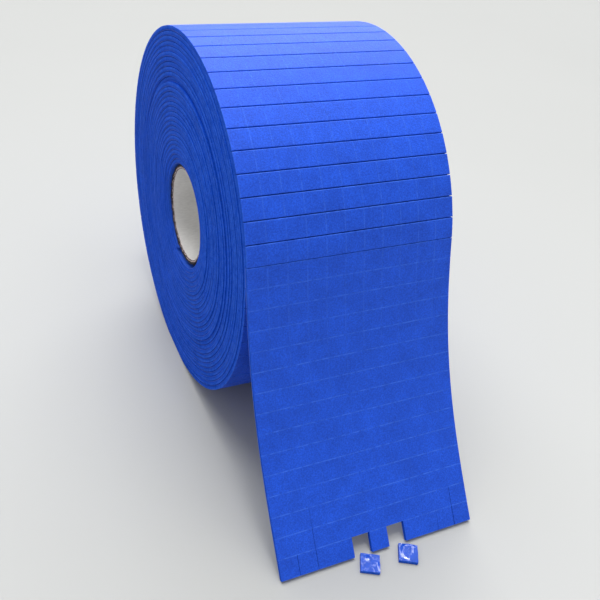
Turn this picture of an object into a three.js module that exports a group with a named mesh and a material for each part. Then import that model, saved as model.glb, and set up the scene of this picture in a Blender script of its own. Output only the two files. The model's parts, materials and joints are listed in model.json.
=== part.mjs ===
// Roll of kiss-cut foam separator pads: a web of blue foam on a cling layer, wound on a paperboard core.
// The web's end hangs off the front of the roll and reaches the floor, and two pads are torn off.
// Units are millimetres. X runs along the core, -Y is the front, Z is up.
// The origin is the middle of the flat that the roll's own weight presses into its outer turn.
import * as THREE from 'three';

// ---- driving dimensions ----
const PAD_WIDTH = 15;            // across the web
const PAD_LENGTH = 15.4;         // along the web
const COLUMNS = 11;
const FOAM_THICKNESS = 2.8;
const CLING_THICKNESS = 0.6;
const GLUE_LINE = 0.1;           // clear gap between foam and cling layer

const ROLL_RADIUS = 150;         // at the point where the web leaves the roll
const TURN_PITCH = 3.8;          // growth of the radius in one turn
const LEAVING_ANGLE = 70.83;     // degrees from the top of the roll to where the web leaves it
const PRESSED_DEPTH = 1.3;       // how far the roll's weight flattens its lowest point

const CORE_INNER_RADIUS = 38.1;  // 3 inch core
const CORE_WALL = 2;
const CORE_INSET = 4.2;          // from the web's edge to the end of the core
const CORE_PLAY = 0.6;           // radial gap between the core and the first turn

const FREE_ROWS = 14;            // whole rows on the tail; one more row of single pads follows
const TAIL_START = 71.0;         // degrees below the horizontal, beside the roll
const TAIL_END = 47.4;           // the same at the free end
const TAIL_EASE = 0.85;          // below 1 bends the tail more in its upper half
const LAST_ROW_PADS = [[1, 2, 3, 4], [6], [8, 9, 10, 11]];

const ROW_CUT = 0.5;             // gap between neighbouring rows on the tail
const CLING_CUT = 0.3;           // gap between neighbouring strips of cling layer
const PAD_CUT = 0.4;             // width of a kiss cut across the row
const CUT_DEPTH = 2.2;           // how deep a kiss cut goes into the foam
const OPEN_CUT = 0.5;            // width of a cut that is bent open round the roll

const LOOSE_PADS = [
  { x: -13.8, y: -269.7, turn: -26.7 },
  { x: 18.3, y: -271.9, turn: -27.5 },
];

// ---- derived ----
const WIDTH = COLUMNS * PAD_WIDTH;
const WEB = FOAM_THICKNESS + GLUE_LINE + CLING_THICKNESS;
const RAD = Math.PI / 180;
const LOWEST_BEHIND = LEAVING_ANGLE + 180;
const AXIS_HEIGHT = turnRadius(LOWEST_BEHIND) - PRESSED_DEPTH;
const HINGE_RADIUS = ROLL_RADIUS - WEB;
const ROW_ANGLE = PAD_LENGTH / HINGE_RADIUS / RAD;
const BORE_RADIUS = CORE_INNER_RADIUS + CORE_WALL + CORE_PLAY;

// ---- finishes ----
const foamBlue = new THREE.MeshStandardMaterial({ color: 0x2352c0, roughness: 0.9, metalness: 0 });
const clingClear = new THREE.MeshStandardMaterial({ color: 0x3c6be0, roughness: 0.15, metalness: 0 });
const paperboard = new THREE.MeshStandardMaterial({ color: 0xcfc9bf, roughness: 0.9, metalness: 0 });

// Outer radius of the roll at an angle behind the leaving point, following the web back into the roll.
function turnRadius(behind) {
  return ROLL_RADIUS - TURN_PITCH * behind / 360;
}

// A point in the plane across the core: an angle behind the leaving point, and a radius.
function across(behind, radius) {
  const fromTop = (LEAVING_ANGLE - behind) * RAD;
  return new THREE.Vector2(-radius * Math.sin(fromTop), radius * Math.cos(fromTop));
}

// The same point, pressed up where it would go below the floor.
function pressed(behind, radius) {
  const point = across(behind, radius);
  point.y = Math.max(point.y, -AXIS_HEIGHT);
  return point;
}

// Extrudes an outline drawn in (y, z) along X, centred on the middle of the web.
function alongCore(shape, width) {
  const geometry = new THREE.ExtrudeGeometry(shape, { depth: width, bevelEnabled: false });
  const yAxis = new THREE.Vector3(0, 1, 0);
  const zAxis = new THREE.Vector3(0, 0, 1);
  const xAxis = new THREE.Vector3(1, 0, 0);
  geometry.applyMatrix4(new THREE.Matrix4().makeBasis(yAxis, zAxis, xAxis));
  geometry.translate(-width / 2, 0, 0);
  return geometry;
}

function named(name, geometry, material) {
  const mesh = new THREE.Mesh(geometry, material);
  mesh.name = name;
  return mesh;
}

// ---- roll ----
function coreTube() {
  const half = WIDTH / 2 - CORE_INSET;
  const outer = CORE_INNER_RADIUS + CORE_WALL;
  const profile = [
    new THREE.Vector2(CORE_INNER_RADIUS, -half),
    new THREE.Vector2(outer, -half),
    new THREE.Vector2(outer, half),
    new THREE.Vector2(CORE_INNER_RADIUS, half),
    new THREE.Vector2(CORE_INNER_RADIUS, -half),
  ];
  const geometry = new THREE.LatheGeometry(profile, 64);
  geometry.rotateZ(-Math.PI / 2);
  return named('core_tube', geometry, paperboard);
}

// All turns below the outer one, with the step where the web goes on into the outer turn.
function woundTurns() {
  const steps = 90;
  const outline = [];
  for (let i = 0; i <= steps; i += 1) {
    const behind = 360 * i / steps;
    outline.push(across(behind, turnRadius(behind) - TURN_PITCH));
  }
  const shape = new THREE.Shape(outline);
  const bore = [];
  for (let i = 0; i < steps; i += 1) {
    bore.push(across(-360 * (i + 0.5) / steps, BORE_RADIUS));
  }
  shape.holes.push(new THREE.Path(bore));
  return named('wound_turns', alongCore(shape, WIDTH), foamBlue);
}

// One turn of a layer, from an inner offset to an outer offset below the roll's surface.
function outerTurn(name, inner, outer, material) {
  const steps = 90;
  const start = 0.25;
  const end = 359.8;
  const outline = [];
  for (let i = 0; i <= steps; i += 1) {
    const behind = start + (end - start) * i / steps;
    outline.push(pressed(behind, turnRadius(behind) - outer));
  }
  for (let i = steps; i >= 0; i -= 1) {
    const behind = start + (end - start) * i / steps;
    outline.push(across(behind, turnRadius(behind) - inner));
  }
  return named(name, alongCore(new THREE.Shape(outline), WIDTH), material);
}

// The outer turn's foam: its rows stand apart at the surface, because the turn bends the cuts open.
function outerTurnFoam() {
  const rows = Math.floor(359.6 / ROW_ANGLE);
  const halfCut = OPEN_CUT / 2 / ROLL_RADIUS / RAD;
  const outline = [];
  for (let row = 0; row < rows; row += 1) {
    const from = row * ROW_ANGLE + halfCut;
    const to = (row + 1) * ROW_ANGLE - halfCut;
    const middle = (from + to) / 2;
    for (const behind of [from, middle, to]) {
      outline.push(pressed(behind, turnRadius(behind)));
    }
    const bottom = (row + 1) * ROW_ANGLE;
    if (row < rows - 1) outline.push(across(bottom, turnRadius(bottom) - CUT_DEPTH));
  }
  const last = rows * ROW_ANGLE - halfCut;
  for (let half = 2 * rows; half >= 0; half -= 1) {
    const behind = Math.min(Math.max(half * ROW_ANGLE / 2, halfCut), last);
    outline.push(across(behind, turnRadius(behind) - FOAM_THICKNESS));
  }
  return named('outer_turn_foam', alongCore(new THREE.Shape(outline), WIDTH), foamBlue);
}

// ---- tail ----
// Angle of a row of the tail below the horizontal, in degrees. The last row has index FREE_ROWS.
function descent(row) {
  const along = (row + 0.5) / (FREE_ROWS + 1);
  const eased = 0.5 + 0.5 * Math.cos(Math.PI * along ** TAIL_EASE);
  return TAIL_END + (TAIL_START - TAIL_END) * eased;
}

// A slab in a row's own frame: x across the web, y from the cling layer's back to the foam, z down the web.
function slab(xLow, xHigh, depthFrom, depthTo, cut) {
  const length = PAD_LENGTH - cut;
  const geometry = new THREE.BoxGeometry(xHigh - xLow, depthTo - depthFrom, length);
  geometry.translate((xLow + xHigh) / 2, -(depthFrom + depthTo) / 2, -PAD_LENGTH / 2);
  return geometry;
}

// A whole row of foam: one strip with a kiss cut between each pad and the next.
function foamSlat() {
  const back = -(CLING_THICKNESS + GLUE_LINE);
  const face = -WEB;
  const outline = [new THREE.Vector2(-WIDTH / 2, back), new THREE.Vector2(-WIDTH / 2, face)];
  for (let column = 1; column < COLUMNS; column += 1) {
    const x = -WIDTH / 2 + column * PAD_WIDTH;
    outline.push(new THREE.Vector2(x - PAD_CUT / 2, face));
    outline.push(new THREE.Vector2(x - PAD_CUT / 2, face + CUT_DEPTH));
    outline.push(new THREE.Vector2(x + PAD_CUT / 2, face + CUT_DEPTH));
    outline.push(new THREE.Vector2(x + PAD_CUT / 2, face));
  }
  outline.push(new THREE.Vector2(WIDTH / 2, face), new THREE.Vector2(WIDTH / 2, back));
  const length = PAD_LENGTH - ROW_CUT;
  const geometry = new THREE.ExtrudeGeometry(new THREE.Shape(outline), { depth: length, bevelEnabled: false });
  geometry.translate(0, 0, -PAD_LENGTH + ROW_CUT / 2);
  return geometry;
}

// One pad of the last row and its square of cling layer.
function lastRowPad(column) {
  const low = -WIDTH / 2 + (column - 1) * PAD_WIDTH + PAD_CUT / 2;
  const high = low + PAD_WIDTH - PAD_CUT;
  const label = String(column).padStart(2, '0');
  const foam = slab(low, high, CLING_THICKNESS + GLUE_LINE, WEB, ROW_CUT);
  const cling = slab(low, high, 0, CLING_THICKNESS, ROW_CUT);
  return [
    named(`last_row_pad_${label}`, foam, foamBlue),
    named(`last_row_cling_${label}`, cling, clingClear),
  ];
}

// The tail is a chain of rows, each turned about its upper kiss cut from the one before.
function tail() {
  const start = across(0, HINGE_RADIUS);
  const chain = new THREE.Group();
  chain.position.set(0, start.x, start.y);
  let holder = chain;
  let angle = 90;
  for (let row = 0; row <= FREE_ROWS; row += 1) {
    const group = new THREE.Group();
    group.position.z = row === 0 ? 0 : -PAD_LENGTH;
    group.rotation.x = (descent(row) - angle) * RAD;
    angle = descent(row);
    if (row < FREE_ROWS) {
      const label = String(row + 1).padStart(2, '0');
      const cling = slab(-WIDTH / 2, WIDTH / 2, 0, CLING_THICKNESS, CLING_CUT);
      group.add(named(`tail_foam_${label}`, foamSlat(), foamBlue));
      group.add(named(`tail_cling_${label}`, cling, clingClear));
    } else {
      LAST_ROW_PADS.flat().forEach((column) => group.add(...lastRowPad(column)));
    }
    holder.add(group);
    holder = group;
  }
  return chain;
}

// ---- loose pads ----
// A pad that was torn off and lies on its foam face, with its cling layer up.
function loosePad(place, index) {
  const group = new THREE.Group();
  group.position.set(place.x, place.y, 0);
  group.rotation.z = place.turn * RAD;
  const side = PAD_WIDTH - PAD_CUT;
  const length = PAD_LENGTH - ROW_CUT;
  const foam = new THREE.BoxGeometry(side, length, FOAM_THICKNESS);
  foam.translate(0, 0, FOAM_THICKNESS / 2);
  const cling = new THREE.BoxGeometry(side, length, CLING_THICKNESS);
  cling.translate(0, 0, WEB - CLING_THICKNESS / 2);
  group.add(named(`loose_pad_foam_${index + 1}`, foam, foamBlue));
  group.add(named(`loose_pad_cling_${index + 1}`, cling, clingClear));
  return group;
}

// ---- assembly ----
const roll = new THREE.Group();
roll.position.z = AXIS_HEIGHT;
roll.add(coreTube());
roll.add(woundTurns());
roll.add(outerTurn('outer_turn_cling', WEB, FOAM_THICKNESS + GLUE_LINE, clingClear));
roll.add(outerTurnFoam());
roll.add(tail());

const group = new THREE.Group();
group.add(roll);
LOOSE_PADS.forEach((place, index) => group.add(loosePad(place, index)));

export default group;
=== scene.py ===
import json
import math
import random

import bpy
import numpy as np
from mathutils import Matrix, Vector


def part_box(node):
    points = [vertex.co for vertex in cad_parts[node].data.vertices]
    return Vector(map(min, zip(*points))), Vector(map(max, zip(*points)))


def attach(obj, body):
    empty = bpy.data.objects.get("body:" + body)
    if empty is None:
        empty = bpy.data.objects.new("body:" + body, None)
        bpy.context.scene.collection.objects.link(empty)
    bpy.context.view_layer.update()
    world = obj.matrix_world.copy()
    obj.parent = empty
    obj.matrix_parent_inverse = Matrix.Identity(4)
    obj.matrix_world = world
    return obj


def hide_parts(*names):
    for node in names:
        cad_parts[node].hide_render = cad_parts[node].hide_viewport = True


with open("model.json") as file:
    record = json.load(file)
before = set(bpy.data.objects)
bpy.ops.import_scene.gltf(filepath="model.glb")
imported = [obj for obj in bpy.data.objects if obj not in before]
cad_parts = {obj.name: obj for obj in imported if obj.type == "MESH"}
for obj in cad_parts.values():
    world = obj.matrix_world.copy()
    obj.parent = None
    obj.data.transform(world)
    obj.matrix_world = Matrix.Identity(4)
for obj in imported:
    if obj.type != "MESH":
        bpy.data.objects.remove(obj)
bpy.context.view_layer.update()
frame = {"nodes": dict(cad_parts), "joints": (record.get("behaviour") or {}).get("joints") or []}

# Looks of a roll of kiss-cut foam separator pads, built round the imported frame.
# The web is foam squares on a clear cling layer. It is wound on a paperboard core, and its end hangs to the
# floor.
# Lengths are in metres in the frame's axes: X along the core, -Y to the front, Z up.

MM = 0.001

# ---- the web, as the frame has it ----
PAD_WIDTH = 15 * MM
PAD_LENGTH = 15.4 * MM
COLUMNS = 11
FOAM = 2.8 * MM
CLING = 0.6 * MM
WEB = 3.5 * MM                     # foam, glue line and cling layer
WIDTH = COLUMNS * PAD_WIDTH
ROLL_RADIUS = 150 * MM             # where the web leaves the roll
TURN_PITCH = 3.8 * MM
LEAVING = math.radians(70.83)      # from the top of the roll to where the web leaves it
CORE_LOW, CORE_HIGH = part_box("core_tube")
AXIS_HEIGHT = (CORE_LOW.z + CORE_HIGH.z) / 2
CORE_RADIUS = (CORE_HIGH.z - CORE_LOW.z) / 2
CORE_WALL = 2 * MM
CORE_HALF = CORE_HIGH.x
SEAM_PITCH = 92 * MM               # along the core, for one turn of its inner ply
HINGE_RADIUS = ROLL_RADIUS - WEB   # the cling layer's back, at the leaving point
WIND = TURN_PITCH / (2 * math.pi)  # loss of radius per radian along the web
FIRST_RADIUS = CORE_RADIUS + 1.3 * MM  # the cling layer's back, at the web's inner end
FREE_ROWS = 14
LAST_ROW = {"left": (1, 2, 3, 4), "tooth": (6,), "right": (8, 9, 10, 11)}

# ---- cuts ----
EDGE = 0.45 * MM                   # rounding of a pad's face at a row cut on the roll
TAIL_EDGE = 0.1 * MM               # the same on the tail and on the wound turns
TORN_EDGE = 0.15 * MM              # the same in the last row, which has been handled
COLUMN_EDGE = 0.07 * MM
LIP = 0.06 * MM                    # rise of a pad's edge where the cut is pressed shut
COLUMN_GAP = 0.035 * MM
SCUFF = 0.3 * MM                   # how far the pale, dry edge of a cut reaches into the pad, on the tail
ROLL_SCUFF_AND_HIGHLIGHT = 0.6 * MM              # the same on the roll, where the upper edges stand proud; here the pale edge is mostly painted highlight of those edges
SKIN_PLAY = 0.02 * MM              # between the foam's back and the cling layer
ROLL_ROW_GAP = 0.14 * MM           # half the opening of a row cut on the outer turn
WOUND_ROW_GAP = 0.05 * MM          # the same on the turns below
TAIL_ROW_GAP = 0.04 * MM           # the same on the tail
FOAM_SPAN = (CLING + SKIN_PLAY, WEB)  # the foam's back and face, out from the cling layer's back
# column cut: how many of the last rows it stands open in, and how wide
OPEN_SLITS = {1: (1, 0.32 * MM), 2: (3, 0.34 * MM), 9: (1, 0.2 * MM), 10: (2, 0.5 * MM)}

# ---- turns at the end faces ----
FACE_ROUND = 0.34 * MM             # rounding of each turn's edge
OPEN_DEPTH = 0.7 * MM              # how far in the turns stay apart
CLOSING = 0.3 * MM                 # the stretch over which they close up
CLOSED_PLAY = 0.03 * MM            # what is left between them further in
DISH = 2.9                         # mm that the innermost turns sit back

rng = random.Random(11)


def tone_of(middle, spread):
    """A random tone for one piece of foam, from 0 to 1."""
    return min(max(rng.gauss(middle, spread), 0), 1)


# ---------------------------------------------------------------- mesh helpers
class Shell:
    """Collects closed forms and makes one object of them, with a tone for each form."""

    def __init__(self):
        self.verts = []
        self.faces = []
        self.cut = []
        self.tones = []
        self.scuff_and_highlight_values = []
        self.count = 0

    def add(self, verts, faces, scuff_and_highlight=None, skin=None, tone=0.5):
        """skin is how many of the faces, counted from the first, are the uncut skin. tone is one value, or
        one for each vertex."""
        self.verts.append(verts)
        self.faces.extend([[i + self.count for i in f] for f in faces])
        skin = len(faces) if skin is None else skin
        self.cut.extend([0] * skin + [1] * (len(faces) - skin))
        self.tones.append(np.full(len(verts), tone))
        self.scuff_and_highlight_values.append(np.zeros(len(verts)) if scuff_and_highlight is None else scuff_and_highlight)
        self.count += len(verts)

    def build(self, name, materials, smooth=40):
        mesh = bpy.data.meshes.new(name)
        mesh.from_pydata(np.concatenate(self.verts).tolist(), [], self.faces)
        for label, values in (("tone", self.tones), ("scuff_and_highlight", self.scuff_and_highlight_values)):
            values = np.concatenate(values).astype(np.float32)
            mesh.attributes.new(label, "FLOAT", "POINT").data.foreach_set("value", values)
        for made in materials:
            mesh.materials.append(made)
        if len(materials) > 1:
            mesh.polygons.foreach_set("material_index", self.cut)
        mesh.shade_smooth()
        mesh.set_sharp_from_angle(angle=math.radians(smooth))
        mesh.update()
        piece = bpy.data.objects.new(name, mesh)
        bpy.context.collection.objects.link(piece)
        return piece


def edge_stops(low, high, radius, inner):
    """Stops from low to high, close together where the edges are rounded."""
    near = [radius * t for t in (0.0, 0.1, 0.4, 1.0)] + [radius + 0.3 * MM, radius + 0.7 * MM]
    middle = np.linspace(low + near[-1], high - near[-1], inner + 2)[1:-1]
    return np.array([low + t for t in near] + list(middle) + [high - t for t in reversed(near)])


def edge_drop(distance, radius):
    """How far a rounded face lies below its flat at a distance from the edge."""
    t = np.clip(1 - distance / radius, 0, 1)
    return radius * (1 - np.sqrt(1 - t * t))


def block(place, x_span, s_span, n_span, edges, inner=(1, 1), shrink=(0, 0), relief=None,
          reach=SCUFF, side_scuff=0.2, upper=False):
    """A cut block of foam. place maps (x, s, n) to the frame: across the web, along it, and out from its
    back. edges are the roundings across and along the web. shrink is how much each end leans in per unit of
    height. relief adds to the face's height. side_scuff is how much of the pale edge the column cuts get,
    and upper keeps the row cuts' pale edge mostly to the far end, which is the upper one on the roll; there
    it is painted highlight on top of scuffing. Also gives how pale each point's edge is, and how many faces
    are skin."""
    xs = edge_stops(*x_span, edges[0], inner[0])
    ss = edge_stops(*s_span, edges[1], inner[1])
    x, s = np.meshgrid(xs, ss, indexing="ij")
    from_side = np.minimum(x - x_span[0], x_span[1] - x)
    from_end = np.minimum(s - s_span[0], s_span[1] - s)
    n = n_span[1] - np.maximum(edge_drop(from_side, edges[0]), edge_drop(from_end, edges[1]))
    # On the roll the row cuts' pale edge is weighted to each row's upper end: painted highlight where the
    # upper edge catches the light, a tenth of it at the lower end.
    upper_highlight = np.clip((s - s_span[0]) / (s_span[1] - s_span[0]) * 4 - 3, 0.1, 1) if upper else 1.0
    end_scuff_and_highlight = upper_highlight * np.exp(-(from_end / reach) ** 2)
    scuff_and_highlight = np.maximum(end_scuff_and_highlight, side_scuff * np.exp(-(from_side / SCUFF) ** 2))
    if relief is not None:
        n = n + relief(x, s)
    nx, ns = x.shape
    along = (s - s_span[0]) / (s_span[1] - s_span[0])
    lean = n * (shrink[0] * (1 - along) - shrink[1] * along)
    top = place(x.ravel(), (s + lean).ravel(), n.ravel())
    ring = ([i * ns for i in range(nx)] + [(nx - 1) * ns + j for j in range(1, ns)]
            + [i * ns + ns - 1 for i in range(nx - 2, -1, -1)] + list(range(ns - 2, 0, -1)))
    flat_x, flat_s = x.ravel()[ring], s.ravel()[ring]
    along = along.ravel()[ring]
    low = np.full(len(ring), n_span[0])
    flat_s = flat_s + low * (shrink[0] * (1 - along) - shrink[1] * along)
    bottom = place(flat_x, flat_s, low)
    centre = place(np.array([sum(x_span) / 2]), np.array([sum(s_span) / 2]), np.array([n_span[0]]))
    faces = [(i * ns + j, (i + 1) * ns + j, (i + 1) * ns + j + 1, i * ns + j + 1)
             for i in range(nx - 1) for j in range(ns - 1)]
    skin = len(faces)
    base = nx * ns
    last = base + len(ring)
    for k in range(len(ring)):
        after = (k + 1) % len(ring)
        faces.append((ring[after], ring[k], base + k, base + after))
        faces.append((base + after, base + k, last))
    scuff_and_highlight = np.concatenate([scuff_and_highlight.ravel(), np.zeros(len(ring) + 1)])
    return np.concatenate([top, bottom, centre]), faces, scuff_and_highlight, skin


def sweep(place, stations, section):
    """A closed section of (x, n) points carried along the web through the given stations."""
    count, size = len(stations), len(section)
    x = np.tile(section[:, 0], count)
    n = np.tile(section[:, 1], count)
    verts = place(x, np.repeat(stations, size), n)
    faces = []
    for i in range(count - 1):
        for j in range(size):
            after = (j + 1) % size
            faces.append((i * size + j, i * size + after, (i + 1) * size + after, (i + 1) * size + j))
    faces.append(tuple(range(size - 1, -1, -1)))
    faces.append(tuple((count - 1) * size + j for j in range(size)))
    return verts, faces


def rounded_section(half, low, high, radius):
    """A flat strip's section with rounded corners, anticlockwise in (x, n)."""
    points = []
    corners = [(half, low, -90), (half, high, 0), (-half, high, 90), (-half, low, 180)]
    for x, n, start in corners:
        cx = x - math.copysign(radius, x)
        cn = n + radius if n == low else n - radius
        for step in (0, 30, 60, 90):
            a = math.radians(start + step)
            points.append((cx + radius * math.cos(a), cn + radius * math.sin(a)))
    return np.array(points)


# ---------------------------------------------------------------- where the web runs
def wound_angle(s):
    """Angle behind the leaving point after a length s of web, at the cling layer's back."""
    return (HINGE_RADIUS - np.sqrt(HINGE_RADIUS ** 2 - 2 * WIND * s)) / WIND


WOUND_LENGTH = (HINGE_RADIUS ** 2 - FIRST_RADIUS ** 2) / (2 * WIND)
OUTER_ROWS = int(359.6 / math.degrees(PAD_LENGTH / HINGE_RADIUS))  # whole rows in the outer turn
WEB_END = float(wound_angle(WOUND_LENGTH))


def drift(angle):
    """How far the turns sit to the right as the web winds in: a small wander, a step part of the way in,
    and the innermost turns furthest. The left end face is dished by it and the right one stands out."""
    turn = angle / (2 * math.pi)
    wander = 0.22 * np.sin(1.9 * turn + 0.6) + 0.16 * np.sin(5.3 * turn + 2.0) + 0.1 * np.sin(11.7 * turn)
    step = np.exp(-((turn - 10.2) / 0.55) ** 2) - 0.7 * np.exp(-((turn - 11.6) / 0.5) ** 2)
    dish = np.clip((turn - 21.5) / 7, 0, 1) ** 2
    return (wander * np.clip(turn, 0, 1) * (1 - dish) + step + DISH * dish) * MM


def on_roll(x, s, n):
    """Places web that is wound on the roll. Nothing goes below the floor."""
    angle = wound_angle(s)
    radius = HINGE_RADIUS - WIND * angle + n
    from_top = LEAVING - angle
    z = AXIS_HEIGHT + radius * np.cos(from_top)
    return np.stack([x + drift(angle), -radius * np.sin(from_top), np.maximum(z, 0.0)], axis=1)


def bends():
    """The tail's bend axes from the frame, each as (y, z), with the free end last."""
    where = {j["name"]: Vector(j["pos_m"]) for j in frame["joints"] if "pos_m" in j}
    points = [where[f"row_bend_{row + 1:02d}"] for row in range(FREE_ROWS)] + [where["last_row_left_bend"]]
    low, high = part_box("last_row_cling_01")
    middle = (low + high) / 2 - points[-1]
    slope = math.atan2(-middle.z, -middle.y) + math.atan(CLING / PAD_LENGTH)
    points.append(points[-1] - PAD_LENGTH * Vector((0, math.cos(slope), math.sin(slope))))
    return [(p.y, p.z) for p in points]


BENDS = bends()


def slope(row):
    """Angle of a tail row below the horizontal. Row -1 is the roll's tangent at the leaving point."""
    if row < 0:
        return LEAVING
    (y0, z0), (y1, z1) = BENDS[row], BENDS[row + 1]
    return math.atan2(z0 - z1, y0 - y1)


def hollow(row):
    """How much a row turns at its upper and lower cut, in radians; the tail is hollow to the front."""
    upper = slope(row - 1) - slope(row)
    lower = slope(row) - slope(row + 1) if row < FREE_ROWS else 0.0
    return upper, lower


def on_tail(row):
    """Returns the placing function of one tail row, slightly curved so that the rows run on smoothly."""
    y0, z0 = BENDS[row]
    angle = slope(row)
    down = np.array([0, -math.cos(angle), -math.sin(angle)])
    out = np.array([0, -math.sin(angle), math.cos(angle)])
    curve = sum(hollow(row)) / 2

    def place(x, s, n):
        sag = curve * s * (PAD_LENGTH - s) / (2 * PAD_LENGTH)
        start = np.array([0, y0, z0])
        points = start + np.outer(s, down) + np.outer(n - sag, out)
        points[:, 0] += x
        return points

    return place


# ---------------------------------------------------------------- materials
def material(name):
    made = bpy.data.materials.new(name)
    made.use_nodes = True
    nodes = made.node_tree.nodes
    return made, nodes, made.node_tree.links, nodes["Principled BSDF"]


def noise(nodes, links, coords, scale, detail, rough=0.5):
    node = nodes.new("ShaderNodeTexNoise")
    node.inputs["Scale"].default_value = scale
    node.inputs["Detail"].default_value = detail
    node.inputs["Roughness"].default_value = rough
    links.new(coords, node.inputs["Vector"])
    return node.outputs["Fac"]


def ramp(nodes, links, value, stops):
    node = nodes.new("ShaderNodeValToRGB")
    links.new(value, node.inputs["Fac"])
    points = node.color_ramp.elements
    while len(points) < len(stops):
        points.new(0.5)
    for point, (place, colour) in zip(points, stops):
        point.position = place
        point.color = (*colour, 1)
    return node.outputs["Color"]


def mix(nodes, links, kind, amount, a, b):
    node = nodes.new("ShaderNodeMix")
    node.data_type = "RGBA"
    node.blend_type = kind
    for socket, value in zip((node.inputs[0], node.inputs[6], node.inputs[7]), (amount, a, b)):
        if isinstance(value, bpy.types.NodeSocket):
            links.new(value, socket)
        elif isinstance(value, tuple):
            socket.default_value = (*value, 1)
        else:
            socket.default_value = value
    return node.outputs[2]


def bump(nodes, links, shader, layers):
    """Stacks bump layers of (height, strength, distance) on a shader's normal."""
    normal = None
    for height, strength, distance in layers:
        node = nodes.new("ShaderNodeBump")
        node.inputs["Strength"].default_value = strength
        node.inputs["Distance"].default_value = distance
        links.new(height, node.inputs["Height"])
        if normal is not None:
            links.new(normal, node.inputs["Normal"])
        normal = node.outputs["Normal"]
    links.new(normal, shader.inputs["Normal"])


def foam_material(name, shade, specular):
    """Matt closed-cell foam: fine cells, soft mottling, pale edges along the cuts, part dry scuffing and
    part painted highlight. A shade below 1 darkens it all, as painted shade.
    """
    made, nodes, links, shader = material(name)
    coords = nodes.new("ShaderNodeTexCoord").outputs["Object"]
    mottle = noise(nodes, links, coords, 60, 4, 0.6)
    grain = noise(nodes, links, coords, 900, 2, 0.7)
    cells = nodes.new("ShaderNodeTexVoronoi")
    cells.inputs["Scale"].default_value = 1300
    links.new(coords, cells.inputs["Vector"])
    tone = nodes.new("ShaderNodeAttribute")
    tone.attribute_name = "tone"
    scuff_and_highlight = nodes.new("ShaderNodeAttribute")
    scuff_and_highlight.attribute_name = "scuff_and_highlight"
    base = ramp(nodes, links, mottle, [(0.3, (0.0074 * shade, 0.068 * shade, 0.55 * shade)),
                                       (0.7, (0.0100 * shade, 0.086 * shade, 0.68 * shade))])
    speck = ramp(nodes, links, grain, [(0.34, (0.68, 0.76, 0.83)), (0.66, (1.34, 1.25, 1.16))])
    pads = ramp(nodes, links, tone.outputs["Fac"], [(0.0, (0.93, 0.94, 0.95)), (1.0, (1.07, 1.06, 1.05))])
    colour = mix(nodes, links, "MULTIPLY", 1.0, base, speck)
    colour = mix(nodes, links, "MULTIPLY", 1.0, colour, pads)
    # The pale edge colour: partly dry scuffing along the cuts, partly painted highlight on the edges that
    # catch the light.
    edge_break = noise(nodes, links, coords, 260, 2)
    wear_and_highlight = ramp(nodes, links, edge_break, [(0.36, (0.14, 0.14, 0.14)), (0.64, (0.62, 0.62, 0.62))])
    wear_and_highlight = mix(nodes, links, "MULTIPLY", 1.0, wear_and_highlight, scuff_and_highlight.outputs["Color"])
    colour = mix(nodes, links, "MIX", wear_and_highlight, colour, (0.07, 0.22, 0.88))
    links.new(colour, shader.inputs["Base Color"])
    shader.inputs["Roughness"].default_value = 0.6
    shader.inputs["Specular IOR Level"].default_value = specular
    bump(nodes, links, shader, [(cells.outputs["Distance"], 0.4, 0.00025), (grain, 0.5, 0.0003)])
    return made


def cling_material(name, crinkle, gloss):
    """Clear cling layer with the foam's blue behind it. crinkle is how rumpled it is."""
    made, nodes, links, shader = material(name)
    coords = nodes.new("ShaderNodeTexCoord").outputs["Object"]
    cloud = noise(nodes, links, coords, 170, 3)
    bubbles = nodes.new("ShaderNodeTexVoronoi")
    bubbles.inputs["Scale"].default_value = 900
    links.new(coords, bubbles.inputs["Vector"])
    folds = noise(nodes, links, coords, 260, 2, 0.4)
    colour = ramp(nodes, links, cloud, [(0.3, (0.012, 0.075, 0.5)), (0.7, (0.02, 0.1, 0.62))])
    links.new(colour, shader.inputs["Base Color"])
    shader.inputs["Roughness"].default_value = 0.55 - 0.46 * gloss
    shader.inputs["Specular IOR Level"].default_value = 0.15 + 0.35 * gloss
    shader.inputs["Coat Weight"].default_value = 0.8 * gloss
    shader.inputs["Coat Roughness"].default_value = 0.05
    bump(nodes, links, shader, [(folds, crinkle, 0.0012), (bubbles.outputs["Distance"], 0.12, 0.0002)])
    return made


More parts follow.
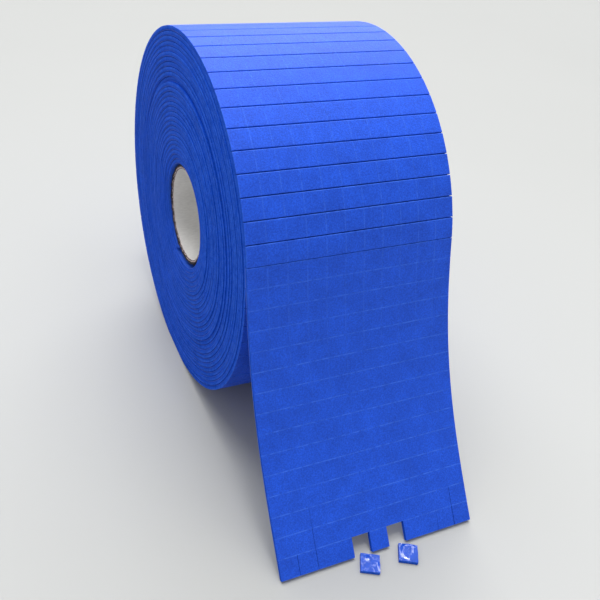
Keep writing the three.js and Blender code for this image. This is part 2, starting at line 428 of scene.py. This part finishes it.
def paperboard_material():
    """Grey-white wound paperboard with fibres and the spiral seam of its inner ply."""
    made, nodes, links, shader = material("core_paperboard")
    coords = nodes.new("ShaderNodeTexCoord").outputs["Object"]
    split = nodes.new("ShaderNodeSeparateXYZ")
    links.new(coords, split.inputs[0])
    lift = nodes.new("ShaderNodeMath")
    lift.operation = "SUBTRACT"
    links.new(split.outputs["Z"], lift.inputs[0])
    lift.inputs[1].default_value = AXIS_HEIGHT
    around = nodes.new("ShaderNodeMath")
    around.operation = "ARCTAN2"
    links.new(split.outputs["Y"], around.inputs[0])
    links.new(lift.outputs[0], around.inputs[1])
    turns = nodes.new("ShaderNodeMath")
    turns.operation = "MULTIPLY_ADD"
    links.new(split.outputs["X"], turns.inputs[0])
    turns.inputs[1].default_value = 1 / SEAM_PITCH
    share = nodes.new("ShaderNodeMath")
    share.operation = "MULTIPLY"
    links.new(around.outputs[0], share.inputs[0])
    share.inputs[1].default_value = 1 / (2 * math.pi)
    links.new(share.outputs[0], turns.inputs[2])
    whole = nodes.new("ShaderNodeMath")
    whole.operation = "FRACT"
    links.new(turns.outputs[0], whole.inputs[0])
    seam = ramp(nodes, links, whole.outputs[0], [(0.0, (0.72, 0.7, 0.68)), (0.012, (1, 1, 1)),
                                                 (0.985, (1, 1, 1)), (1.0, (0.8, 0.78, 0.76))])
    stretch = nodes.new("ShaderNodeMapping")
    stretch.inputs["Scale"].default_value = (0.25, 1, 1)
    links.new(coords, stretch.inputs["Vector"])
    fibre = noise(nodes, links, stretch.outputs[0], 900, 4, 0.6)
    cloud = noise(nodes, links, coords, 45, 3)
    tone = nodes.new("ShaderNodeAttribute")
    tone.attribute_name = "tone"
    wall = ramp(nodes, links, fibre, [(0.3, (0.70, 0.685, 0.665)), (0.7, (0.80, 0.785, 0.765))])
    rim = ramp(nodes, links, fibre, [(0.3, (0.52, 0.40, 0.40)), (0.7, (0.8, 0.68, 0.66))])
    patch = ramp(nodes, links, cloud, [(0.3, (0.92, 0.92, 0.92)), (0.7, (1.04, 1.04, 1.04))])
    colour = mix(nodes, links, "MULTIPLY", 1.0, wall, seam)
    colour = mix(nodes, links, "MULTIPLY", 1.0, colour, patch)
    at_rim = ramp(nodes, links, tone.outputs["Fac"], [(0.05, (0, 0, 0)), (0.35, (1, 1, 1))])
    # Where tone is high the board is painted near-black: painted shadow in the ring beside the first turn
    # and along the rim's outer edge, and a dark line near the bore.
    at_dark = ramp(nodes, links, tone.outputs["Fac"], [(0.62, (0, 0, 0)), (0.78, (1, 1, 1))])
    colour = mix(nodes, links, "MIX", at_rim, colour, rim)
    colour = mix(nodes, links, "MIX", at_dark, colour, (0.022, 0.02, 0.03))
    links.new(colour, shader.inputs["Base Color"])
    shader.inputs["Roughness"].default_value = 0.85
    shader.inputs["Specular IOR Level"].default_value = 0.25
    bump(nodes, links, shader, [(fibre, 0.3, 0.0003), (seam, 0.4, 0.0003)])
    return made


def floor_material():
    made, nodes, links, shader = material("pale_floor")
    coords = nodes.new("ShaderNodeTexCoord").outputs["Object"]
    cloud = noise(nodes, links, coords, 3, 2)
    colour = ramp(nodes, links, cloud, [(0.3, (0.437, 0.440, 0.430)), (0.7, (0.443, 0.446, 0.436))])
    links.new(colour, shader.inputs["Base Color"])
    shader.inputs["Roughness"].default_value = 0.95
    shader.inputs["Specular IOR Level"].default_value = 0.1
    return made


# ---------------------------------------------------------------- pieces
def stands_for_foam(piece, node, body):
    """Puts a foam piece in the place of its soft node."""
    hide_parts(node)
    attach(piece, body)


def stands_for_cling(piece, node, body):
    """Puts a strip or square of cling layer in the place of its soft node."""
    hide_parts(node)
    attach(piece, body)


def column_cuts(row_from_end=None):
    """The two cut faces of every column, as (low, high) spans across the web."""
    gaps = [0.0]
    for cut in range(1, COLUMNS):
        gap = COLUMN_GAP * rng.uniform(0.5, 1.7)
        rows, width = OPEN_SLITS.get(cut, (0, 0))
        if row_from_end is not None and row_from_end < rows:
            gap = width * (1 - 0.25 * row_from_end)
        gaps.append(gap)
    gaps.append(0.0)
    spans = []
    for column in range(COLUMNS):
        low = -WIDTH / 2 + column * PAD_WIDTH + gaps[column] / 2
        high = -WIDTH / 2 + (column + 1) * PAD_WIDTH - gaps[column + 1] / 2
        spans.append((low, high))
    return spans


def outer_turn(foams):
    """The outer turn's pads: flatter than the roll under them, so the row cuts stand open."""
    shell = Shell()
    lean = PAD_LENGTH / 2 / HINGE_RADIUS
    flatten = 0.5 / (2 * HINGE_RADIUS)
    for row in range(OUTER_ROWS):
        start, end = row * PAD_LENGTH + ROLL_ROW_GAP, (row + 1) * PAD_LENGTH - ROLL_ROW_GAP
        middle = (start + end) / 2
        row_rise = rng.uniform(-0.03, 0.05) * MM
        for span in column_cuts():
            rise = row_rise + rng.uniform(-0.012, 0.012) * MM

            def relief(x, s, rise=rise, middle=middle):
                return rise + flatten * (s - middle) ** 2

            # The outer turn's pads get the wider pale edge, weighted to their upper edges: painted highlight
            # on those edges along with some scuffing.
            form = block(on_roll, span, (start, end), FOAM_SPAN, (COLUMN_EDGE, EDGE), (0, 3), (lean, lean),
                         relief, ROLL_SCUFF_AND_HIGHLIGHT, 0.6, True)
            shell.add(*form, tone=tone_of(0.5, 0.05))
    stands_for_foam(shell.build("outer_turn_pads", foams), "outer_turn_foam", "roll")


def wound_foam(foams):
    """Every row of web below the outer turn, down to the core, with its cuts bent open. The turns press on
    each other, and stand a little apart only at the two end faces."""
    shell = Shell()
    for row in range(OUTER_ROWS, int(WOUND_LENGTH / PAD_LENGTH)):
        start, end = row * PAD_LENGTH + WOUND_ROW_GAP, (row + 1) * PAD_LENGTH - WOUND_ROW_GAP
        radius = HINGE_RADIUS - WIND * float(wound_angle(start))
        lean = 0.15 * PAD_LENGTH / 2 / radius
        slack = rng.uniform(0.04, 0.2) * MM
        pull = rng.uniform(-0.07, 0.07) * MM

        def swell(x, s, slack=slack):
            inside = np.clip((WIDTH / 2 - np.abs(x) - OPEN_DEPTH) / CLOSING, 0, 1)
            return (TURN_PITCH - WEB + slack - CLOSED_PLAY) * inside

        def place(x, s, n, pull=pull):
            return on_roll(x + pull, s, n)

        stations = 3 if radius > 0.09 else 4
        height = (FOAM_SPAN[0], WEB - slack)
        # A side_scuff of 0.6 paints a pale line along each turn's rounded edge at the end faces: painted
        # highlight of those edges.
        form = block(place, (-WIDTH / 2, WIDTH / 2), (start, end), height, (FACE_ROUND, TAIL_EDGE),
                     (0, stations), (lean, lean), swell, 0.02 * MM, 0.6)
        shell.add(*form, tone=tone_of(0.4, 0.06))
    # The wound turns are all in the darker cut foam: painted shade on the end faces.
    stands_for_foam(shell.build("wound_foam", foams[1:]), "wound_turns", "roll")


def wound_cling(cling):
    """The cling layer of the whole winding: the outer turn's own strip, and the turns below it."""
    outer_length = 2 * math.pi * (HINGE_RADIUS - TURN_PITCH / 2) * 0.998
    for name, low, high, step in (("outer_turn_film", 0.2 * MM, outer_length, 5 * MM),
                                  ("wound_film", outer_length + 0.3 * MM, WOUND_LENGTH, 6 * MM)):
        stations = np.linspace(low, high, int((high - low) / step))
        section = rounded_section(WIDTH / 2 - 0.2 * MM, SKIN_PLAY, CLING - SKIN_PLAY, 0.2 * MM)
        shell = Shell()
        shell.add(*sweep(on_roll, stations, section))
        piece = shell.build(name, [cling])
        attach(piece, "roll")
        if name == "outer_turn_film":
            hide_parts("outer_turn_cling")


def tail_relief(rise):
    """A pad's face on the tail: pressed up a little along its upper and lower cut."""
    def relief(x, s):
        edge = np.minimum(s, PAD_LENGTH - s)
        return rise + LIP * np.exp(-(edge / (0.55 * MM)) ** 2)
    return relief


def tail_span(row):
    """How a row's ends lean so that they meet their neighbours face to face."""
    upper, lower = hollow(row)
    ends = (TAIL_ROW_GAP, PAD_LENGTH - TAIL_ROW_GAP)
    return ends, (math.tan(upper / 2), math.tan(lower / 2))


def tail_row(row, foams, cling):
    label = f"{row + 1:02d}"
    place = on_tail(row)
    ends, lean = tail_span(row)
    shell = Shell()
    side_scuff = max(0.6 - 0.06 * row, 0.2)
    for span in column_cuts(FREE_ROWS - row):
        relief = tail_relief(rng.uniform(-0.006, 0.006) * MM)
        form = block(place, span, ends, FOAM_SPAN, (COLUMN_EDGE, TAIL_EDGE), (0, 3), lean, relief,
                     side_scuff=side_scuff)
        shell.add(*form, tone=tone_of(0.5, 0.05))
    pads = shell.build(f"tail_pads_{label}", foams)
    stands_for_foam(pads, f"tail_foam_{label}", f"tail_row_{label}")
    shell = Shell()
    section = rounded_section(WIDTH / 2 + 0.05 * MM, 0.0, CLING - SKIN_PLAY, 0.2 * MM)
    shell.add(*sweep(place, np.linspace(SKIN_PLAY, PAD_LENGTH - SKIN_PLAY, 7), section))
    film = shell.build(f"tail_film_{label}", [cling])
    stands_for_cling(film, f"tail_cling_{label}", f"tail_row_{label}")


def last_row(foams, cling):
    """The last row, pad by pad, where two pads have been torn off."""
    place = on_tail(FREE_ROWS)
    ends, lean = tail_span(FREE_ROWS)
    spans = column_cuts(0)
    for group, columns in LAST_ROW.items():
        for column in columns:
            label = f"{column:02d}"
            span = spans[column - 1]
            rise = rng.uniform(-0.01, 0.02) * MM
            shell = Shell()
            form = block(place, span, ends, FOAM_SPAN, (TORN_EDGE, TORN_EDGE), (1, 3), lean,
                         tail_relief(rise))
            shell.add(*form, tone=tone_of(0.5, 0.12))
            pad = shell.build(f"end_pad_{label}", foams)
            stands_for_foam(pad, f"last_row_pad_{label}", f"last_row_{group}")
            shell = Shell()
            shell.add(*block(place, span, (ends[0], ends[1] + TORN_EDGE), (0.0, CLING - SKIN_PLAY),
                             (TORN_EDGE, TORN_EDGE)))
            film = shell.build(f"end_film_{label}", [cling])
            stands_for_cling(film, f"last_row_cling_{label}", f"last_row_{group}")


def loose_pad(index, foams, cling):
    """A torn-off pad on its face, with its cling layer up: rumpled, and lifting at one corner."""
    node = f"loose_pad_foam_{index}"
    corners = np.array([v.co for v in frame["nodes"][node].data.vertices])
    centre = corners[:, :2].mean(axis=0)
    left = corners[corners[:, 0].argmin(), :2]
    front = corners[corners[:, 1].argmin(), :2]
    edge = front - left if np.linalg.norm(front - left) > 1e-6 else np.array([1.0, 0.0])
    turn = math.atan2(edge[1], edge[0])
    across = np.array([math.cos(turn), math.sin(turn), 0])
    along = np.array([-math.sin(turn), math.cos(turn), 0])
    origin = np.array([centre[0], centre[1], 0])

    def place(x, s, n):
        return origin + np.outer(x, across) + np.outer(s, along) + np.outer(n, np.array([0, 0, 1.0]))

    half_x, half_s = 7.3 * MM, 7.45 * MM

    def face(x, s):
        return 0.05 * MM * np.cos(x / half_x) * np.cos(s / half_s)

    shell = Shell()
    form = block(place, (-half_x, half_x), (-half_s, half_s), (0.0, FOAM), (0.2 * MM, 0.2 * MM), (2, 2),
                 (0, 0), face)
    shell.add(*form, tone=0.45)
    body = f"loose_pad_{index}"
    # The loose pad's foam is all the darker cut foam: painted shade on its sides.
    stands_for_foam(shell.build(f"{body}_foam", foams[1:]), node, body)
    stands_for_cling(film_of(place, index, half_x, half_s, cling), f"loose_pad_cling_{index}", body)


def film_of(place, index, half_x, half_s, cling):
    """The rumpled cling square, a thin closed sheet. The first pad's has a blister and a curled edge, and
    the second's a crescent fold."""
    steps = 46
    u = np.linspace(-1, 1, steps)
    x, s = np.meshgrid(u, u, indexing="ij")
    ripple = 0.025 * np.sin(7.1 * x + 4.2 * s + index) + 0.02 * np.sin(5.3 * x - 8.7 * s + 2 * index)
    ragged = 1 + 0.008 * np.sin(9 * x + index) * np.sin(8 * s - index)
    if index == 1:
        blister = 0.62 * np.exp(-((x + 0.12) / 0.3) ** 2 - ((s - 0.42) / 0.26) ** 2)
        curl = 0.85 * np.clip((x - 0.66) / 0.34, 0, 1) ** 2 * np.exp(-((s + 0.3) / 0.42) ** 2)
        ragged = ragged - 0.09 * np.clip((x - 0.5) / 0.5, 0, 1) * np.exp(-((s - 0.12) / 0.1) ** 2)
    else:
        reach = np.hypot(x - 0.16, s - 0.14)
        blister = 0.7 / (1 + np.exp((reach - 0.93) / 0.07))
        curl = 0.3 * np.exp(-((x - 0.55) / 0.16) ** 2 - ((s - 0.25) / 0.3) ** 2)
    height = FOAM + (0.14 + blister + curl + ripple) * MM
    px, ps = (x * half_x * ragged).ravel(), (s * half_s * ragged).ravel()
    upper = place(px, ps, height.ravel() + 0.06 * MM)
    lower = place(px, ps, height.ravel() - 0.02 * MM)
    count = steps * steps
    faces = []
    for i in range(steps - 1):
        for j in range(steps - 1):
            a, b, c, d = i * steps + j, (i + 1) * steps + j, (i + 1) * steps + j + 1, i * steps + j + 1
            faces.append((a, b, c, d))
            faces.append((d + count, c + count, b + count, a + count))
    rim = ([i * steps for i in range(steps)] + [(steps - 1) * steps + j for j in range(1, steps)]
           + [i * steps + steps - 1 for i in range(steps - 2, -1, -1)] + list(range(steps - 2, 0, -1)))
    for k, a in enumerate(rim):
        b = rim[(k + 1) % len(rim)]
        faces.append((b, a, a + count, b + count))
    shell = Shell()
    shell.add(np.concatenate([upper, lower]), faces)
    return shell.build(f"loose_pad_{index}_film", [cling], smooth=60)


def add_painted_shadow_ring(shell):
    """A dark, ragged ring at each end between the core and the first turn, painted shadow in that gap.
    Further in it fills the wedge beside the web's inner end."""
    around = 240
    for side in (-1, 1):
        verts = []
        for k in range(around):
            a = 2 * math.pi * k / around
            rag = 0.5 * math.sin(9 * a + side) * math.sin(4 * a)
            rag += 0.3 * math.sin(23 * a) + 0.25 * math.sin(47 * a + 2)
            outer = CORE_RADIUS + (1.35 + 0.3 * rag) * MM
            low = CORE_RADIUS + 0.05 * MM
            end = CORE_HALF + (0.35 + 0.45 * rag) * MM
            behind = (WEB_END - a - LEAVING) % (2 * math.pi)
            under_web = FIRST_RADIUS + WIND * behind - 0.06 * MM
            section = ((end - 0.5 * MM, low), (end, low + 0.5 * MM), (end - 0.3 * MM, outer),
                       (end - 4 * MM, outer), (end - 4.2 * MM, under_web), (end - 8 * MM, under_web),
                       (end - 8 * MM, low))
            verts.append([(side * x, r * math.sin(a), AXIS_HEIGHT + r * math.cos(a)) for x, r in section])
        size = len(verts[0])
        faces = []
        for k in range(around):
            after = (k + 1) % around
            for j in range(size):
                nxt = (j + 1) % size
                quad = (k * size + j, after * size + j, after * size + nxt, k * size + nxt)
                faces.append(quad if side > 0 else quad[::-1])
        # Tone 1.0 paints this ring near-black: painted shadow.
        shell.add(np.concatenate(verts), faces, tone=1.0)


def core(paper):
    """The paperboard tube: plies that show at its ends, and edges softened by cutting."""
    inner, outer = CORE_RADIUS - CORE_WALL, CORE_RADIUS
    plies = 5
    profile = []
    for side in (-1, 1):
        stops = []
        for ply in range(plies):
            low = inner + CORE_WALL * ply / plies
            high = inner + CORE_WALL * (ply + 1) / plies
            back = (0.12 + 0.18 * ((ply * 7 + side) % 3)) * MM
            if ply in (0, plies - 1):
                back += 0.15 * MM
            stops += [(low + 0.08 * MM, back), ((low + high) / 2, back - 0.08 * MM),
                      (high - 0.08 * MM, back), (high, back + 0.22 * MM)]
        stops = stops[:-1]
        points = [(side * (CORE_HALF - back), radius) for radius, back in stops]
        profile.append(points)
    length = np.linspace(-CORE_HALF + 1.5 * MM, CORE_HALF - 1.5 * MM, 24)
    outline = [(x, inner) for x in reversed(length)] + profile[0] + [(x, outer) for x in length]
    outline += list(reversed(profile[1]))
    around = 160
    x = np.array([p[0] for p in outline])
    radius = np.array([p[1] for p in outline])
    verts, tones = [], []
    for k in range(around):
        a = 2 * math.pi * k / around
        waver = 0.09 * MM * math.sin(3 * a + 0.5) + 0.05 * MM * math.sin(7 * a)
        nick = 0.12 * MM * math.sin(11 * a + 1) + 0.08 * MM * math.sin(29 * a)
        end = np.clip((np.abs(x) - CORE_HALF + 1.6 * MM) / (1.2 * MM), 0, 1)
        r = radius + waver
        verts.append(np.stack([x + np.sign(x) * nick * end - np.sign(x) * 0.2 * MM * end,
                               r * math.sin(a), AXIS_HEIGHT + r * math.cos(a)], axis=1))
        outward = np.clip((radius - inner) / CORE_WALL, 0, 1)
        ragged = 0.12 * math.sin(17 * a) * math.sin(5 * a + 1) + 0.08 * math.sin(41 * a)
        # The end rims are pinkish, with a dark line along the outer edge, painted shadow of the gap beside
        # the first turn, and a dark line near the bore.
        dark_line = (outward + ragged > 0.85) | (np.abs(outward + ragged - 0.18) < 0.12)
        tones.append(np.where(end > 0.3, np.where(dark_line, 1.0, 0.5), 0.0))
    size = len(outline)
    faces = []
    for k in range(around):
        after = (k + 1) % around
        for j in range(size):
            nxt = (j + 1) % size
            faces.append((k * size + j, k * size + nxt, after * size + nxt, after * size + j))
    shell = Shell()
    shell.add(np.concatenate(verts), faces, tone=np.concatenate(tones))
    add_painted_shadow_ring(shell)
    piece = shell.build("paper_core", [paper], smooth=50)
    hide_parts("core_tube")
    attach(piece, "roll")


# ---------------------------------------------------------------- stage
def stage():
    mesh = bpy.data.meshes.new("floor")
    size = 25.0
    corners = [(-size, -size, 0), (size, -size, 0), (size, size, 0), (-size, size, 0)]
    mesh.from_pydata(corners, [], [(0, 1, 2, 3)])
    mesh.materials.append(floor_material())
    floor = bpy.data.objects.new("floor", mesh)
    floor.location.z = -0.0002
    bpy.context.collection.objects.link(floor)


# name, strength, width, lean to the back and to the right in degrees
LIGHTS = (("overhead", 1.9, 44, 33, -5), ("zenith", 0.62, 11, 1, 0), ("back", 1.95, 46, 56, 26))


def lights():
    """An even sky, and soft lights: two from above, one from the back for the roll's top, and a hood."""
    world = bpy.data.worlds.new("studio")
    world.use_nodes = True
    world.node_tree.nodes["Background"].inputs["Color"].default_value = (0.97, 0.985, 1.0, 1)
    world.node_tree.nodes["Background"].inputs["Strength"].default_value = 0.66
    bpy.context.scene.world = world
    for name, energy, width, back, side in LIGHTS:
        data = bpy.data.lights.new(name, "SUN")
        data.energy = energy
        data.angle = math.radians(width)
        light = bpy.data.objects.new(name, data)
        light.rotation_euler = (Vector((math.sin(math.radians(side)), math.sin(math.radians(back)),
                                        math.cos(math.radians(back))))).to_track_quat("Z", "Y").to_euler()
        bpy.context.collection.objects.link(light)
    data = bpy.data.lights.new("hood", "AREA")
    data.shape = "DISK"
    data.size = 0.5
    data.energy = 1.6
    light = bpy.data.objects.new("hood", data)
    light.location = (0, -0.05, 0.85)
    bpy.context.collection.objects.link(light)


def camera():
    """A hand-held view from the front left, looking down and tipped to one side."""
    yaw, pitch, roll = (math.radians(a) for a in (30.233, 38.59, 9.951))
    forward = Vector((math.sin(yaw) * math.cos(pitch), math.cos(yaw) * math.cos(pitch), -math.sin(pitch)))
    level = Vector((math.cos(yaw), -math.sin(yaw), 0))
    upright = level.cross(forward)
    right = level * math.cos(roll) + upright * math.sin(roll)
    up = upright * math.cos(roll) - level * math.sin(roll)
    data = bpy.data.cameras.new("camera")
    data.lens = 46.22
    data.sensor_width = 36
    data.clip_start = 0.01
    made = bpy.data.objects.new("camera", data)
    made.matrix_world = Matrix((
        (right.x, up.x, -forward.x, -0.25578),
        (right.y, up.y, -forward.y, -0.51522),
        (right.z, up.z, -forward.z, 0.50451),
        (0, 0, 0, 1),
    ))
    bpy.context.collection.objects.link(made)
    bpy.context.scene.camera = made


# ---------------------------------------------------------------- assembly
camera()
stage()
lights()
bpy.context.scene.view_settings.view_transform = "Standard"

# The second foam is the same foam painted darker (shade 0.82): painted shade on the cut sides and end faces,
# which lie in shadow.
foams = [foam_material("foam", 1.0, 0.25), foam_material("cut_foam_painted_shade", 0.82, 0.01)]
cling = cling_material("cling", 0.12, 0.45)
wound_cling_layer = cling_material("wound_cling", 0.12, 0.0)
rumpled = cling_material("rumpled_cling", 0.35, 1.0)
paper = paperboard_material()

core(paper)
wound_foam(foams)
wound_cling(wound_cling_layer)
outer_turn(foams)
for row in range(FREE_ROWS):
    tail_row(row, foams, cling)
last_row(foams, cling)
for index in (1, 2):
    loose_pad(index, foams, rumpled)
